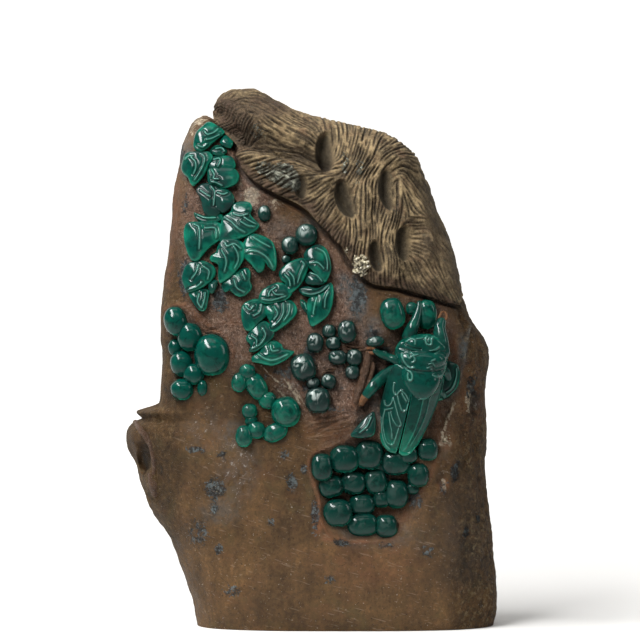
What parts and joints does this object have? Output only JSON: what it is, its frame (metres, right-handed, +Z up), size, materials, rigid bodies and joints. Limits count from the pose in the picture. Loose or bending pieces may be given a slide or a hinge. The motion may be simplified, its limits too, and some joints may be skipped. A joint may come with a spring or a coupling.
{
  "type": "stone cicada carving",
  "caption": "Upright boulder carved in relief with a cicada, leaves and clusters of berries in green stone below a crown of bark-like brown skin.",
  "frame": {"origin": "centre of the flat base, on the surface it stands on, under the middle of the overall box", "axes": "+Z up, -Y the way the carved face looks, +X to the right as a viewer sees the carved face"},
  "size_m": [0.1888, 0.0997, 0.2755],
  "materials": {
    "brown_skin": "rubbed satin, with dark and rusty mottles and pale specks",
    "green_stone": "high polish, deep green chalcedony, lighter at thin edges",
    "bark": "matt brown skin carved with fine bark grooves",
    "quartz": "glittering pale crystal crust"
  },
  "bodies": {
    "root": {"carved_stone": "brown_skin"}
  },
  "joints": []
}
